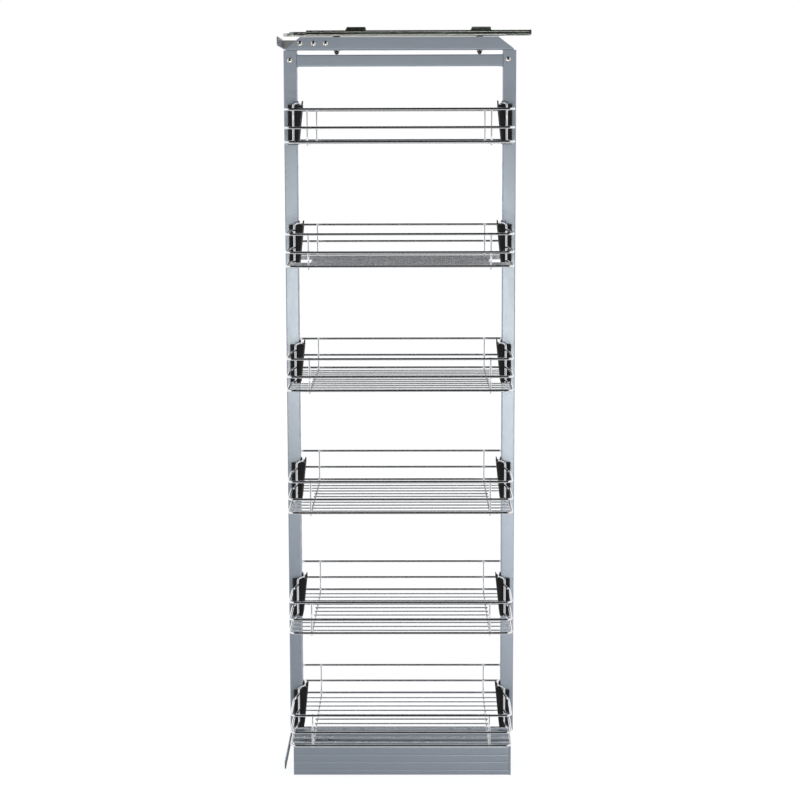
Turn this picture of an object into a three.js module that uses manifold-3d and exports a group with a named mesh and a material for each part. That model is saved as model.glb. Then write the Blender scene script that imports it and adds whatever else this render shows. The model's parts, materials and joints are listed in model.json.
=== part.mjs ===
// Pull-out larder unit, seen side-on: two painted steel posts, a top beam and a
// bottom beam make a tall frame that runs out of a kitchen cabinet on a floor
// runner and a top slide. Six chrome wire baskets hang on black plastic brackets.
// Millimetres. +Z up, X = 0 midway between the posts, the door side is -X,
// Z = 0 is the underside of the floor channel, Y = 0 is the middle plane.
import * as THREE from "three";
import { mergeVertices } from "three/addons/utils/BufferGeometryUtils.js";
import Module from "manifold-3d";

const wasm = await Module();
wasm.setup();

// ---------- driving dimensions ----------
const GAP = 0.3;                       // between pieces that touch

// posts and frame
const POST_OUT = 245;                  // outer face of each post, from X = 0
const POST_W = 28;                     // post width along X
const POST_D = 28;                     // post depth along Y
const POST_T = 1.5;                    // sheet thickness of the tubes
const BEAM_D = 36;                     // beam depth along Y
const BEAM_T = 1.5;
const BOTTOM_BEAM_Z = [58.3, 86.0];
const TOP_BEAM_Z = [1563.8, 1591.0];
const TOP_BEAM_LOW_X = [-240, 239.5];  // long lower edge of the mitred top beam
const TOP_BEAM_HIGH_X = [-209.5, 207]; // short upper edge
const POST_Z = [BOTTOM_BEAM_Z[1] + GAP, TOP_BEAM_Z[0] - GAP];
const RAIL_Z = [1530.1, 1554.3];       // cross rail under the top beam

// baskets
const BASKET_Z = [1374, 1122, 866, 610, 354, 110]; // bottom rail centre, top basket first
const RIM_X = 232;                     // rim centre line, half length
const RIM_Y = 197;                     // rim centre line, half width
const RIM_R = 12;                      // plan corner radius
const RIM_DIA = 5.2;
const RIM_MID = 28.6;                  // middle rail above bottom rail
const RIM_TOP = 65.6;                  // top rail above bottom rail
const FLOOR_WIRES = 11;
const FLOOR_PITCH = (2 * RIM_Y) / (FLOOR_WIRES + 1);
const FLOOR_DIA = 3.2;
const FLOOR_DROP = 2.6;                // floor wire centre below bottom rail centre
const CROSS_X = 186.5;                  // the two U-shaped cross wires
const CROSS_DIA = 4.2;
const HANGER_X = 224.5;                // hanger wire beside each post
const HANGER_Y = 32;
const HANGER_DIA = 4.4;
const LOOP_X = 212.2;                  // hanger loop, inside the post
const LOOP_Z = 78.9;                   // its height above the bottom rail
const BEND_Y = 82;                     // where the rails turn in towards the hanger

// shelf brackets (height measured from the bottom rail of their basket)
const BR_Z = [-7, 76];
const BR_LOWEST = { low: -14, arm: 69.5 }; // the lowest pair reaches further down, with shorter arms
const BR_LIP_Z = 84.5;
const BR_ARM_X = 236.5;                // how far the arms reach out along the post
const BR_IN_TOP = 205.8;               // inner face at the top
const BR_IN_BOT = 214.6;               // and at the bottom: it tapers
const BR_LIP_IN = 208.6;
const BR_T = 9.7;                      // arm thickness
const PEG = { y: 3.7, half: 2.9, depth: 4, at: [6, 70] }; // two hooks, one slot pitch apart

// slots up the inner side of each post, and one pair of their own for the lowest brackets
const SLOT = { y: 4.3, half: 6.3 };
const SLOT_Z = [...Array.from({ length: 21 }, (_, k) => 1511 - 64 * k), 180, 116];

// floor channel and its runners
const CH_X = [-235.4, 234.4];
const CH_Y = 63;
const CH_H = 65;
const CH_T = 2;
const CH_LIP = 25;                     // half width of the slot in its top
const RUN_X = [-228.5, 230.5];
const CARR_Z = [8, 58];
const CARR_Y = 45;

// top slide
const TS_OUT_X = [-196.2, 272.2];
const TS_MID_X = [-232.4, 235.6];
const TS_IN_X = [-245.2, 222.8];
const TS_Z = [1593.2, 1604.5];
const CLIP_X = [-92.8, 170.3];
const BOLT_X = [-133.2, 168.0];

// fasteners and door brackets
const SCREW_TOP_X = [-209.7, -181.5, -155.9];
const SCREW_BOT_X = [-210.0, -183.0, -156.5];
const SCREW_TOP_Z = 1577.4;
const SCREW_BOT_Z = 70.5;
const POST_SCREW = [[-231.6, 1542.5], [227.6, 1544.0]];
const ACCESS_X = [-125.6, -86.9, 110.3, 149.6];
const DOOR_X = [-245.6, -243.2];
const DOOR_Y = 203;
const DOOR_TOP_Z = [1566.3, 1584.3];
const DOOR_BOT_Z = [61.0, 78.6];

// ---------- materials ----------
const paint = new THREE.MeshStandardMaterial({ name: "painted_steel", color: 0x8f99a3, roughness: 0.42, metalness: 0.35 });
const chrome = new THREE.MeshStandardMaterial({ name: "chrome_wire", color: 0xd9dbde, roughness: 0.12, metalness: 1.0 });
const black = new THREE.MeshStandardMaterial({ name: "black_plastic", color: 0x1b1b1d, roughness: 0.5, metalness: 0.0 });
const zinc = new THREE.MeshStandardMaterial({ name: "zinc_steel", color: 0x8d9690, roughness: 0.4, metalness: 0.9 });
const fastener = new THREE.MeshStandardMaterial({ name: "plated_fastener", color: 0xc9ccd0, roughness: 0.2, metalness: 1.0 });

// ---------- helpers ----------
function solid(geometry) {
  const g = geometry.clone();
  g.deleteAttribute("normal");
  g.deleteAttribute("uv");
  const m = mergeVertices(g, 1e-4);
  return new wasm.Manifold(new wasm.Mesh({
    numProp: 3,
    vertProperties: new Float32Array(m.attributes.position.array),
    triVerts: new Uint32Array(m.index.array),
  }));
}
function geometryOf(manifold) {
  const mesh = manifold.getMesh();
  const g = new THREE.BufferGeometry();
  const n = mesh.numProp;
  const pos = new Float32Array((mesh.vertProperties.length / n) * 3);
  for (let i = 0; i < pos.length / 3; i++) {
    for (let k = 0; k < 3; k++) pos[3 * i + k] = mesh.vertProperties[n * i + k];
  }
  g.setAttribute("position", new THREE.BufferAttribute(pos, 3));
  g.setIndex(new THREE.BufferAttribute(new Uint32Array(mesh.triVerts), 1));
  g.computeVertexNormals();
  return g;
}
function union(list) {
  let out = list[0];
  for (let i = 1; i < list.length; i++) out = out.add(list[i]);
  return out;
}
function cut(from, ...tools) {
  let out = from;
  for (const t of tools) out = out.subtract(t);
  return out;
}
function box(x, y, z) {
  const g = new THREE.BoxGeometry(x[1] - x[0], y[1] - y[0], z[1] - z[0]);
  g.translate((x[0] + x[1]) / 2, (y[0] + y[1]) / 2, (z[0] + z[1]) / 2);
  return g;
}
function outline(points) {
  const s = new THREE.Shape();
  points.forEach(([u, v], i) => (i ? s.lineTo(u, v) : s.moveTo(u, v)));
  s.closePath();
  return s;
}
const AXIS = {
  x: new THREE.Matrix4().makeBasis(new THREE.Vector3(0, 1, 0), new THREE.Vector3(0, 0, 1), new THREE.Vector3(1, 0, 0)),
  y: new THREE.Matrix4().makeBasis(new THREE.Vector3(1, 0, 0), new THREE.Vector3(0, 0, 1), new THREE.Vector3(0, -1, 0)),
  z: new THREE.Matrix4(),
};
// profile points are (Y, Z) for axis x, (X, Z) for axis y, (X, Y) for axis z
function extrude(points, axis, from, to, holes = []) {
  const s = outline(points);
  for (const h of holes) s.holes.push(outline(h));
  const g = new THREE.ExtrudeGeometry(s, { depth: to - from, bevelEnabled: false });
  g.applyMatrix4(AXIS[axis]);
  if (axis === "x") g.translate(from, 0, 0);
  if (axis === "y") g.translate(0, to, 0);
  if (axis === "z") g.translate(0, 0, from);
  return g;
}
function rod(axis, r, at, from, to, sides = 10) {
  const g = new THREE.CylinderGeometry(r, r, to - from, sides);
  if (axis === "x") { g.rotateZ(Math.PI / 2); g.translate((from + to) / 2, at[0], at[1]); }
  if (axis === "y") g.translate(at[0], (from + to) / 2, at[1]);
  if (axis === "z") { g.rotateX(Math.PI / 2); g.translate(at[0], at[1], (from + to) / 2); }
  return g;
}
// a C-section: web at w0..w1, two flanges reaching to f, between heights z0 and z1
function channel(w0, w1, f, z0, z1, t) {
  const a = Math.sign(f - w0) > 0 ? w0 : w1;
  const b = a === w0 ? w1 : w0;
  const pts = [[a, z0], [f, z0], [f, z0 + t], [b, z0 + t], [b, z1 - t], [f, z1 - t], [f, z1], [a, z1]];
  return THREE.ShapeUtils.isClockWise(pts.map(([u, v]) => new THREE.Vector2(u, v))) ? pts.reverse() : pts;
}
// a path through given points; its sections sit exactly on those points
class WirePath extends THREE.Curve {
  constructor(points) {
    super();
    this.points = points.map((p) => new THREE.Vector3(...p));
  }
  getPoint(t, target = new THREE.Vector3()) {
    const n = this.points.length - 1;
    const i = Math.min(Math.floor(t * n + 1e-9), n - 1);
    return target.copy(this.points[i]).lerp(this.points[i + 1], t * n - i);
  }
  getPointAt(u, target) { return this.getPoint(u, target); }
  getSpacedPoints() { return this.points.map((p) => p.clone()); }
  getTangentAt(u, target = new THREE.Vector3()) {
    const n = this.points.length - 1;
    const i = Math.round(u * n);
    target.set(0, 0, 0);
    if (i > 0) target.add(this.points[i].clone().sub(this.points[i - 1]).normalize());
    if (i < n) target.add(this.points[i + 1].clone().sub(this.points[i]).normalize());
    return target.normalize();
  }
}
// wires are drawn four-sided; the corners stand a little proud of the round wire's radius
function wire(points, dia, sides = 4) {
  const r = (dia / 2) * 1.12;
  const section = [];
  for (let i = 0; i < sides; i++) {
    const a = (2 * Math.PI * i) / sides;
    section.push([r * Math.cos(a), r * Math.sin(a)]);
  }
  return new THREE.ExtrudeGeometry(outline(section), {
    steps: points.length - 1,
    extrudePath: new WirePath(points),
    bevelEnabled: false,
  });
}
function arc(cx, cy, r, a0, a1, n) {
  const out = [];
  for (let i = 0; i <= n; i++) {
    const a = THREE.MathUtils.degToRad(a0 + ((a1 - a0) * i) / n);
    out.push([cx + r * Math.cos(a), cy + r * Math.sin(a)]);
  }
  return out;
}

const unit = new THREE.Group();
function piece(name, shape, material, parent = unit) {
  const g = shape instanceof THREE.BufferGeometry ? shape : geometryOf(shape);
  const m = new THREE.Mesh(g, material);
  m.name = name;
  parent.add(m);
  return m;
}

// ---------- cabinet side: floor channel, fixed runner halves, top slide rail ----------
{
  const y = CH_Y, t = CH_T, h = CH_H, l = CH_LIP;
  const profile = [[-y, 0], [y, 0], [y, h], [l, h], [l, h - t], [y - t, h - t], [y - t, t],
    [-y + t, t], [-y + t, h - t], [-l, h - t], [-l, h], [-y, h]];
  let ch = solid(extrude(profile, "x", CH_X[0], CH_X[1]));
  for (const x of [-190, -70, 70, 190]) ch = ch.subtract(solid(rod("z", 2.6, [x, 0], -1, t + 1, 8)));
  piece("floor_channel", ch, paint);
  // the end plate is notched for the end of the bottom beam
  piece("floor_channel_end_plate", extrude([[-y, 0], [y, 0], [y, h], [21, h], [21, 57], [-21, 57], [-21, h], [-y, h]],
    "x", CH_X[1] + GAP, CH_X[1] + GAP + 3.7), paint);
}
for (const [side, s] of [["right", -1], ["left", 1]]) {
  const c = (w0, w1, f, z0, z1, t) => channel(...(s > 0 ? [w0, w1, f] : [-w1, -w0, -f]), z0, z1, t);
  piece(`runner_outer_${side}`, extrude(c(59.3, 60.7, 50.5, 10, 55, 1.4), "x", ...RUN_X), zinc);
  piece(`runner_middle_${side}`, extrude(c(56.3, 57.6, 50.9, 13.2, 51.8, 1.3), "x", ...RUN_X), zinc);
  piece(`runner_inner_${side}`, extrude(c(45.3, 46.7, 54.6, 16.7, 48.3, 1.3), "x", ...RUN_X), zinc);
}
{
  // flat C-sections; profile points are (Y, Z)
  const [z0, z1] = TS_Z;
  const flat = (w, zWeb0, zWeb1, zOpen, t) => (zOpen < zWeb0
    ? [[-w, zOpen], [-w + t, zOpen], [-w + t, zWeb0], [w - t, zWeb0], [w - t, zOpen], [w, zOpen], [w, zWeb1], [-w, zWeb1]]
    : [[-w, zWeb0], [w, zWeb0], [w, zOpen], [w - t, zOpen], [w - t, zWeb1], [-w + t, zWeb1], [-w + t, zOpen], [-w, zOpen]]);
  let outer = solid(extrude(flat(22.5, z1 - 1.4, z1, z0 + 1.3, 1.4), "x", ...TS_OUT_X));
  for (const x of CLIP_X) outer = outer.subtract(solid(rod("z", 2.6, [x, 0], z1 - 4, z1 + 2, 8)));
  piece("top_slide_outer", outer, zinc);
  piece("top_slide_middle", extrude(flat(18.9, z1 - 4.2, z1 - 2.9, z0 + 1.7, 1.3), "x", ...TS_MID_X), zinc);
  let inner = solid(extrude(flat(15.9, z0, z0 + 1.4, z0 + 5.8, 1.3), "x", ...TS_IN_X));
  for (const x of BOLT_X) inner = inner.subtract(solid(rod("z", 3.5, [x, 0], z0 - 1, z0 + 3, 10)));
  piece("top_slide_inner", inner, zinc);
  piece("top_slide_end_cap", box([TS_OUT_X[1] + GAP, TS_OUT_X[1] + 4], [-23, 23], [z0 + 0.9, z1 + 0.5]), zinc);
  CLIP_X.forEach((x, i) => {
    const w = 22;
    const low = z1 + GAP, high = 1611.8;
    let clip = solid(extrude([[x - w, low], [x + w, low], [x + w - 1.5, high], [x - w + 3.5, high]], "y", -11, 11));
    clip = cut(clip,
      solid(rod("z", 2.4, [x, 0], low - 1, high + 1, 8)),
      solid(rod("z", 4.6, [x, 0], high - 2.2, high + 1, 12)));
    piece(i ? "top_clip_rear" : "top_clip_front", clip, zinc);
  });
}

// ---------- frame ----------
function post(s, screw) {
  const x0 = s > 0 ? POST_OUT - POST_W : -POST_OUT;
  const x1 = x0 + POST_W, h = POST_D / 2, t = POST_T;
  let p = solid(extrude([[x0, -h], [x1, -h], [x1, h], [x0, h]], "z", POST_Z[0], POST_Z[1],
    [[[x0 + t, -h + t], [x0 + t, h - t], [x1 - t, h - t], [x1 - t, -h + t]]]));
  const xin = s > 0 ? x0 : x1;
  for (const z of SLOT_Z) p = p.subtract(solid(box([xin - 3, xin + 3], [-SLOT.y, SLOT.y], [z - SLOT.half, z + SLOT.half])));
  return p.subtract(solid(rod("y", 2.9, screw, -h - 1, -h + 4, 8)));
}
piece("front_post", post(-1, POST_SCREW[0]), paint);
piece("rear_post", post(1, POST_SCREW[1]), paint);
{
  const x = POST_OUT - POST_W - GAP, h = POST_D / 2, t = POST_T;
  const [z0, z1] = RAIL_Z;
  piece("cross_rail", extrude([[-h, z0], [h, z0], [h, z1], [-h, z1]], "x", -x, x,
    [[[-h + t, z0 + t], [-h + t, z1 - t], [h - t, z1 - t], [h - t, z0 + t]]]), paint);
}
{
  // top beam: channel open upwards, mitred ends
  const [z0, z1] = TOP_BEAM_Z, h = BEAM_D / 2, t = BEAM_T;
  const [a, d] = TOP_BEAM_LOW_X, [b, c] = TOP_BEAM_HIGH_X;
  let beam = solid(extrude([[a, z0], [d, z0], [d, z0 + 2.4], [c, z1], [b, z1], [a, z0 + 2.4]], "y", -h, h));
  beam = beam.subtract(solid(box([-260, 260], [-h + t, h - t], [z0 + t, z1 + 5])));
  for (const x of BOLT_X) beam = beam.subtract(solid(rod("z", 3.5, [x, 0], z0 - 1, z0 + 4, 10)));
  for (const x of SCREW_TOP_X) beam = beam.subtract(solid(rod("y", 2.6, [x, SCREW_TOP_Z], -h - 1, -h + 4, 8)));
  piece("top_beam", beam, paint);
}
{
  // bottom beam: the same channel the other way up, with access holes to the carriage bolts
  const [z0, z1] = BOTTOM_BEAM_Z, h = BEAM_D / 2, t = BEAM_T;
  let beam = solid(extrude([[-h, z0], [-h + t, z0], [-h + t, z1 - t], [h - t, z1 - t], [h - t, z0], [h, z0], [h, z1], [-h, z1]], "x", -238, 239));
  for (const x of ACCESS_X) beam = beam.subtract(solid(rod("z", 6.5, [x, 0], z1 - 3, z1 + 1, 12)));
  for (const x of SCREW_BOT_X) beam = beam.subtract(solid(rod("y", 2.6, [x, SCREW_BOT_Z], -h - 1, -h + 4, 8)));
  piece("bottom_beam", beam, paint);
}
{
  // carriage: inverted channel that joins the beam to the inner runners
  const [z0, z1] = CARR_Z, y = CARR_Y, t = 2;
  let c = solid(extrude([[-y, z0], [-y + t, z0], [-y + t, z1 - t], [y - t, z1 - t], [y - t, z0], [y, z0], [y, z1], [-y, z1]], "x", ...RUN_X));
  for (const x of ACCESS_X) c = c.subtract(solid(rod("z", 3.4, [x, 0], z1 - 3, z1 + 1, 8)));
  piece("carriage", c, zinc);
  ACCESS_X.forEach((x, i) => {
    const head = new THREE.LatheGeometry([[0, 46], [2.9, 46], [2.9, 58.6], [5.2, 58.6], [5.2, 62.4], [4.4, 63.4], [0, 63.4]].map(([r, z]) => new THREE.Vector2(r, z)), 10);
    head.rotateX(Math.PI / 2);
    head.translate(x, 0, 0);
    piece(`carriage_bolt_${i + 1}`, head, fastener);
  });
}
BOLT_X.forEach((x, i) => {
  const end = i ? "rear" : "front";
  const web = TOP_BEAM_Z[0], slide = TS_Z[0];
  const bush = new THREE.LatheGeometry([[3.5, web + BEAM_T + GAP], [7.5, web + BEAM_T + GAP], [7.5, slide - GAP], [3.5, slide - GAP], [3.5, web + BEAM_T + GAP]].map(([r, z]) => new THREE.Vector2(r, z)), 12);
  bush.rotateX(Math.PI / 2);
  bush.translate(x, 0, 0);
  piece(`slide_spacer_${end}`, bush, black);
  const w = web - GAP;
  const bolt = new THREE.LatheGeometry([[0, w - 8.7], [2.8, w - 8.2], [4.7, w - 6.6], [5.4, w - 4.2], [5.4, w - 1.3], [7, w - 1.3], [7, w], [3.1, w],
    [3.1, slide + 1.7], [5.5, slide + 1.7], [4.8, slide + 3.6], [0, slide + 3.9]].map(([r, z]) => new THREE.Vector2(r, z)), 12);
  bolt.rotateX(Math.PI / 2);
  bolt.translate(x, 0, 0);
  piece(`slide_bolt_${end}`, bolt, fastener);
});

// ---------- door brackets and screws ----------
function doorBracket(zr, screws, screwZ, wallY) {
  const flange = solid(box(DOOR_X, [-DOOR_Y, DOOR_Y], zr));
  const leg = solid(box([DOOR_X[0], screws[2] + 11], [wallY, wallY + 2], zr));
  let b = flange.add(leg);
  const zm = (zr[0] + zr[1]) / 2;
  for (const s of [-1, 1]) {
    for (const yy of [90, 170]) {
      b = b.subtract(solid(box([DOOR_X[0] - 1, DOOR_X[1] + 1], [s * yy - 6, s * yy + 6], [zm - 2.7, zm + 2.7])));
    }
  }
  for (const x of screws) b = b.subtract(solid(rod("y", 2.6, [x, screwZ], wallY - 1, wallY + 3, 8)));
  return b;
}
const WALL_IN = -BEAM_D / 2 + BEAM_T + GAP;
piece("door_bracket_top", doorBracket(DOOR_TOP_Z, SCREW_TOP_X, SCREW_TOP_Z, WALL_IN), zinc);
piece("door_bracket_bottom", doorBracket(DOOR_BOT_Z, SCREW_BOT_X, SCREW_BOT_Z, WALL_IN), zinc);
function screw(x, z, faceY, shank) {
  // pan head: profile runs from the shank end to the crown
  const g = new THREE.LatheGeometry([[0, 0], [2.2, 0], [2.2, shank + GAP], [5.8, shank + GAP], [5.5, shank + GAP + 1.6], [4, shank + GAP + 2.8], [0, shank + GAP + 3.3]].map(([r, h]) => new THREE.Vector2(r, h)), 10);
  g.rotateX(Math.PI);
  g.translate(x, faceY + shank, z);
  return g;
}
SCREW_TOP_X.forEach((x, i) => piece(`top_bracket_screw_${i + 1}`, screw(x, SCREW_TOP_Z, -BEAM_D / 2, 6), fastener));
SCREW_BOT_X.forEach((x, i) => piece(`bottom_bracket_screw_${i + 1}`, screw(x, SCREW_BOT_Z, -BEAM_D / 2, 6), fastener));
POST_SCREW.forEach(([x, z], i) => piece(i ? "rear_post_screw" : "front_post_screw", screw(x, z, -POST_D / 2, 8), fastener));

// ---------- shelf brackets ----------
function bracket(low, armTop) {
  // drawn for the door-side post; the inner face tapers towards the bottom
  const xin = -(POST_OUT - POST_W) + GAP, y = POST_D / 2 + GAP, yo = y + BR_T, top = BR_Z[1];
  let b = solid(extrude([[xin, low], [-BR_IN_BOT, low], [-BR_IN_TOP, top], [xin, top]], "y", -yo, yo));
  for (const s of [-1, 1]) {
    b = b.add(solid(box([-BR_ARM_X, xin + 1], s > 0 ? [y, yo] : [-yo, -y], [low, armTop])));
  }
  // the wire loop lies between a lip and a low upstand beside the post
  b = b.add(solid(extrude([[-BR_LIP_IN, top - 2], [-BR_IN_TOP, top - 2], [-BR_IN_TOP + 0.6, BR_LIP_Z], [-BR_IN_TOP - 2, BR_LIP_Z]], "y", -9, 9)));
  b = b.add(solid(box([xin, xin + 1.7], [-9, 9], [top - 2, BR_LIP_Z - 0.5])));
  for (const z of PEG.at) b = b.add(solid(box([xin - PEG.depth, xin + 1], [-PEG.y, PEG.y], [z - PEG.half, z + PEG.half])));
  return geometryOf(b);
}
const bracketShape = bracket(BR_Z[0], BR_Z[1]);
const lowestShape = bracket(BR_LOWEST.low, BR_LOWEST.arm);
BASKET_Z.forEach((z, i) => {
  const shape = i < BASKET_Z.length - 1 ? bracketShape : lowestShape;
  const front = piece(`bracket_front_${i + 1}`, shape, black);
  front.position.z = z;
  const rear = piece(`bracket_rear_${i + 1}`, shape, black);
  rear.position.z = z;
  rear.rotation.z = Math.PI;
});

// ---------- baskets ----------
const basketShape = (() => {
  const parts = [];
  // one half of a rail: from the door-side hanger round the rim to the other hanger
  const halfRail = (s, z) => {
    const c = arc(-RIM_X + RIM_R, -RIM_Y + RIM_R, RIM_R, 180, 270, 2);
    const left = [[-HANGER_X, -HANGER_Y], [-RIM_X, -BEND_Y], ...c];
    const right = left.map(([x, y]) => [-x, y]).reverse();
    return [...left, ...right].map(([x, y]) => [x, s * y, z]);
  };
  for (const z of [0, RIM_MID, RIM_TOP]) {
    for (const s of [1, -1]) parts.push(solid(wire(halfRail(s, z), RIM_DIA)));
  }
  // hangers: up beside the post, over, and round its inner side
  for (const s of [-1, 1]) {
    const up = [[HANGER_X, -HANGER_Y, -1], [HANGER_X, -HANGER_Y, LOOP_Z - 6],
      [HANGER_X - 4, -HANGER_Y + 4.4, LOOP_Z], [LOOP_X, -HANGER_Y + 12, LOOP_Z]];
    const back = up.map(([x, y, z]) => [x, -y, z]).reverse();
    parts.push(solid(wire([...up, ...back].map(([x, y, z]) => [s * x, s * y, z]), HANGER_DIA)));
  }
  // cross wires: down the front rim, under the floor, up the rear rim
  const cy = RIM_Y - (RIM_DIA + CROSS_DIA) / 2 + 1.1;
  const cz = -FLOOR_DROP - (FLOOR_DIA + CROSS_DIA) / 2 + 1.1;
  for (const s of [-1, 1]) {
    parts.push(solid(wire([[s * CROSS_X, -cy, RIM_TOP + 1], [s * CROSS_X, -cy, cz + 4], [s * CROSS_X, -cy + 4, cz],
      [s * CROSS_X, cy - 4, cz], [s * CROSS_X, cy, cz + 4], [s * CROSS_X, cy, RIM_TOP + 1]], CROSS_DIA)));
  }
  // floor wires: the three in the middle stop at the cross wires, clear of the post
  for (let i = 1; i <= FLOOR_WIRES; i++) {
    const y = -RIM_Y + i * FLOOR_PITCH;
    const near = Math.abs(y);
    const f = THREE.MathUtils.clamp((BEND_Y - near) / (BEND_Y - HANGER_Y), 0, 1);
    const x = near < HANGER_Y + 6 ? CROSS_X + 2 : RIM_X - f * (RIM_X - HANGER_X);
    parts.push(solid(wire([[-x, y, -FLOOR_DROP], [x, y, -FLOOR_DROP]], FLOOR_DIA)));
  }
  return geometryOf(union(parts));
})();
BASKET_Z.forEach((z, i) => {
  const b = piece(`basket_${i + 1}`, basketShape, chrome);
  b.position.z = z;
});

export default unit;
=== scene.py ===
import json
import math
import bpy
import bmesh
from mathutils import Matrix, Vector

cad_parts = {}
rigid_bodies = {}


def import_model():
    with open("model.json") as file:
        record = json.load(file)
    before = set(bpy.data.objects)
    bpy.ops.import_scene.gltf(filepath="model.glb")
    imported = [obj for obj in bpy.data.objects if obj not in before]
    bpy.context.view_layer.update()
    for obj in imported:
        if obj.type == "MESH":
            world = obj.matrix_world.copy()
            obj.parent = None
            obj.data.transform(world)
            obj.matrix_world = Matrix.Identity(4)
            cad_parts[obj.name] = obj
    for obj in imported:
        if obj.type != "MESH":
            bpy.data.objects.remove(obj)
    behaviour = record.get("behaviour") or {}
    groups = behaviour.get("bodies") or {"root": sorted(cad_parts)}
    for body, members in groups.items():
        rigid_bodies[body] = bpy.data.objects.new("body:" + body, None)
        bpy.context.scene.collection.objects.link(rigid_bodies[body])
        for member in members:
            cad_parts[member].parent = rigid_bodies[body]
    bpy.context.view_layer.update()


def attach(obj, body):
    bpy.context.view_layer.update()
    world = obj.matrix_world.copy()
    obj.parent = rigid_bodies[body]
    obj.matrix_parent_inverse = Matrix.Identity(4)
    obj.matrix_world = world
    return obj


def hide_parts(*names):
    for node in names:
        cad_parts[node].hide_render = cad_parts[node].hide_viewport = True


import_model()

scene = bpy.context.scene
MM = 0.001

# ------------------------------------------------------------------ dimensions (mm), as in the solids
GAP = 0.3
POST_OUT, POST_W, POST_D, POST_T = 245.0, 28.0, 28.0, 1.5
BEAM_D, BEAM_T = 36.0, 1.5
BOT_Z = (58.3, 86.0)
TOP_Z = (1563.8, 1591.0)
POST_Z = (86.3, 1563.5)
RAIL_Z = (1530.1, 1554.3)
BASKET_Z = (1374, 1122, 866, 610, 354, 110)
RIM_X, RIM_Y, RIM_R, RIM_D = 232.0, 197.0, 12.0, 5.2
RIM_MID, RIM_TOP = 28.6, 65.6
FLOOR_N, FLOOR_D, FLOOR_DROP = 11, 3.2, 2.6
PITCH = 2 * RIM_Y / (FLOOR_N + 1)
CROSS_X, CROSS_D = 186.5, 4.2
HANG_X, HANG_Y, HANG_D = 224.5, 32.0, 4.4
LOOP_X, LOOP_Z, BEND_Y = 212.2, 78.9, 82.0
BR_Z, BR_LOWEST = (-7.0, 76.0), (-14.0, 69.5)
BR_ARM_X, BR_IN, BR_T = 236.5, (214.6, 205.8), 9.7
CH_X, CH_Y, CH_H, CH_T, CH_LIP = (-235.4, 234.4), 63.0, 65.0, 2.0, 25.0
RUN_X = (-228.5, 230.5)
TS_OUT_X, TS_MID_X, TS_IN_X = (-196.2, 272.2), (-232.4, 235.6), (-245.2, 222.8)
TS_Z = (1593.2, 1604.5)
CLIP_X = (-92.8, 170.3)
BOLT_X = (-133.2, 168.0)
SCREW_TOP_X, SCREW_TOP_Z = (-209.7, -181.5, -155.9), 1577.4
SCREW_BOT_X, SCREW_BOT_Z = (-210.0, -183.0, -156.5), 70.5
POST_SCREW = ((-231.6, 1542.5), (227.6, 1544.0))
ACCESS_X = (-125.6, -86.9, 110.3, 149.6)
DOOR_X, DOOR_Y = (-245.6, -243.2), 203.0
DOOR_Z = {"top": (1566.3, 1584.3), "bottom": (61.0, 78.6)}


# ------------------------------------------------------------------ node helpers
def new_material(name):
    m = bpy.data.materials.new(name)
    m.use_nodes = True
    nt = m.node_tree
    nt.nodes.clear()
    out = nt.nodes.new("ShaderNodeOutputMaterial")
    b = nt.nodes.new("ShaderNodeBsdfPrincipled")
    nt.links.new(b.outputs["BSDF"], out.inputs["Surface"])
    co = nt.nodes.new("ShaderNodeTexCoord")
    return m, nt, b, co.outputs["Object"]


def noise(nt, co, scale, detail=3.0, rough=0.5, stretch=None):
    if stretch:
        mp = nt.nodes.new("ShaderNodeMapping")
        mp.inputs["Scale"].default_value = stretch
        nt.links.new(co, mp.inputs["Vector"])
        co = mp.outputs["Vector"]
    n = nt.nodes.new("ShaderNodeTexNoise")
    n.inputs["Scale"].default_value = scale
    n.inputs["Detail"].default_value = detail
    n.inputs["Roughness"].default_value = rough
    nt.links.new(co, n.inputs["Vector"])
    return n.outputs["Fac"]


def ramp(nt, fac, stops):
    r = nt.nodes.new("ShaderNodeValToRGB")
    els = r.color_ramp.elements
    els[0].position, els[0].color = stops[0][0], (*stops[0][1], 1)
    els[1].position, els[1].color = stops[-1][0], (*stops[-1][1], 1)
    for p, c in stops[1:-1]:
        e = els.new(p)
        e.color = (*c, 1)
    nt.links.new(fac, r.inputs["Fac"])
    return r.outputs["Color"]


def span(nt, fac, lo, hi, a=0.35, b=0.65):
    r = nt.nodes.new("ShaderNodeMapRange")
    r.inputs["From Min"].default_value = a
    r.inputs["From Max"].default_value = b
    r.inputs["To Min"].default_value = lo
    r.inputs["To Max"].default_value = hi
    nt.links.new(fac, r.inputs["Value"])
    return r.outputs["Result"]


def mix(nt, fac, a, b, kind="MIX"):
    m = nt.nodes.new("ShaderNodeMix")
    m.data_type = "RGBA"
    m.blend_type = kind
    sock = {s.identifier: s for s in m.inputs}
    for ident, v in (("Factor_Float", fac), ("A_Color", a), ("B_Color", b)):
        if hasattr(v, "links"):
            nt.links.new(v, sock[ident])
        elif ident == "Factor_Float":
            sock[ident].default_value = v
        else:
            sock[ident].default_value = (*v, 1)
    return [o for o in m.outputs if o.identifier == "Result_Color"][0]


def bump(nt, bsdf, layers):
    normal = None
    for fac, strength, dist in layers:
        b = nt.nodes.new("ShaderNodeBump")
        b.inputs["Strength"].default_value = strength
        b.inputs["Distance"].default_value = dist
        nt.links.new(fac, b.inputs["Height"])
        if normal is not None:
            nt.links.new(normal, b.inputs["Normal"])
        normal = b.outputs["Normal"]
    nt.links.new(normal, bsdf.inputs["Normal"])


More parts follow.
